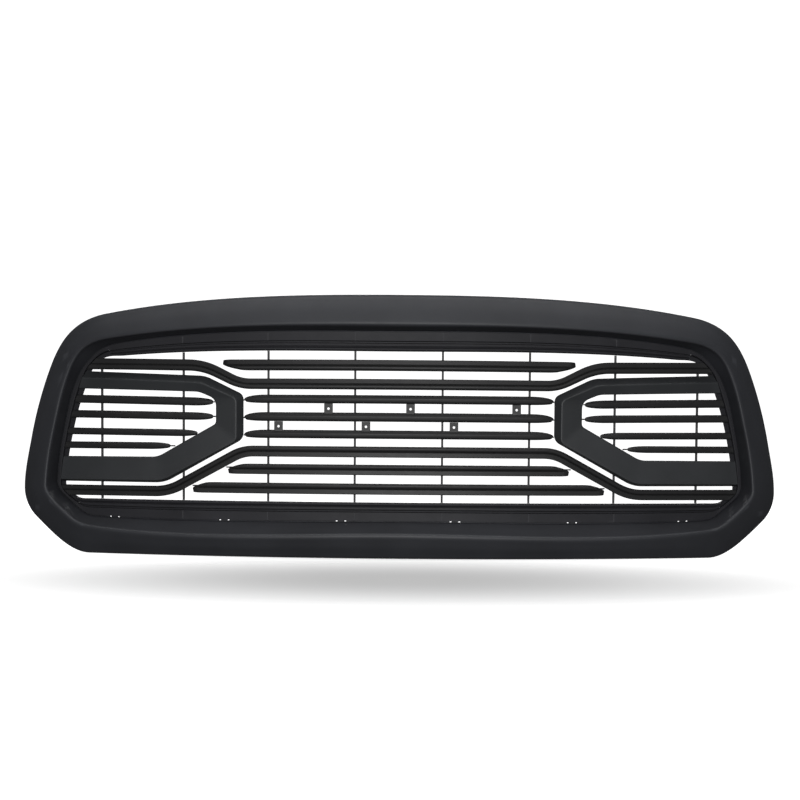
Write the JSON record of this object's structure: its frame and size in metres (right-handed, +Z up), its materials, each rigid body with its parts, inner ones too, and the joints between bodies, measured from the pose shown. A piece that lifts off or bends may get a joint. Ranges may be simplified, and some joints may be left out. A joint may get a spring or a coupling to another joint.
{
  "type": "front grille",
  "caption": "Wide bowed vehicle front grille: arched surround shell around a recessed insert of horizontal blades, upright ribs and open arrow frames at each side.",
  "frame": {"origin": "middle of the flat lower edge, in the middle of the depth", "axes": "+X to the viewer's right when facing the front, front faces -Y, +Z up"},
  "size_m": [1.258, 0.2092, 0.423],
  "materials": {
    "shell_plastic": "moulded matt black with a fine grain and a soft sheen",
    "arrow_plastic": "moulded matt black, smooth",
    "insert_plastic": "moulded matt black, fine grain",
    "blade_plastic": "moulded black, slightly glossier than the shell",
    "zinc_steel": "zinc plated",
    "clip_plastic": "moulded nylon, black"
  },
  "bodies": {
    "root": {"surround_shell": "shell_plastic", "insert_top_rail": "insert_plastic", "insert_bottom_rail": "insert_plastic", "insert_side_rail_left": "insert_plastic", "insert_side_rail_right": "insert_plastic", "upright_rib_1": "insert_plastic", "upright_rib_2": "insert_plastic", "upright_rib_3": "insert_plastic", "upright_rib_4": "insert_plastic", "upright_rib_5": "insert_plastic", "upright_rib_6": "insert_plastic", "upright_rib_7": "insert_plastic", "upright_rib_8": "insert_plastic", "upper_bar": "blade_plastic", "lower_bar_inner": "blade_plastic", "lower_bar_outer": "blade_plastic", "upper_bent_bar": "blade_plastic", "lower_bent_bar": "blade_plastic", "centre_blade_top": "blade_plastic", "centre_blade_middle": "blade_plastic", "centre_blade_bottom": "blade_plastic", "side_blade_left_1": "blade_plastic", "side_blade_left_2": "blade_plastic", "side_blade_left_3": "blade_plastic", "side_blade_left_4": "blade_plastic", "arrow_frame_left": "arrow_plastic", "side_blade_right_1": "blade_plastic", "side_blade_right_2": "blade_plastic", "side_blade_right_3": "blade_plastic", "side_blade_right_4": "blade_plastic", "arrow_frame_right": "arrow_plastic", "insert_screw_1": "zinc_steel", "insert_screw_2": "zinc_steel", "insert_screw_3": "zinc_steel", "insert_screw_4": "zinc_steel", "insert_screw_5": "zinc_steel", "insert_screw_6": "zinc_steel", "insert_screw_7": "zinc_steel", "insert_screw_8": "zinc_steel", "insert_screw_9": "zinc_steel", "insert_screw_10": "zinc_steel", "spring_nut_1": "zinc_steel", "spring_nut_2": "zinc_steel", "spring_nut_3": "zinc_steel", "spring_nut_4": "zinc_steel", "push_clip_1": "clip_plastic", "push_clip_2": "clip_plastic", "push_clip_3": "clip_plastic", "push_clip_4": "clip_plastic"}
  },
  "joints": []
}
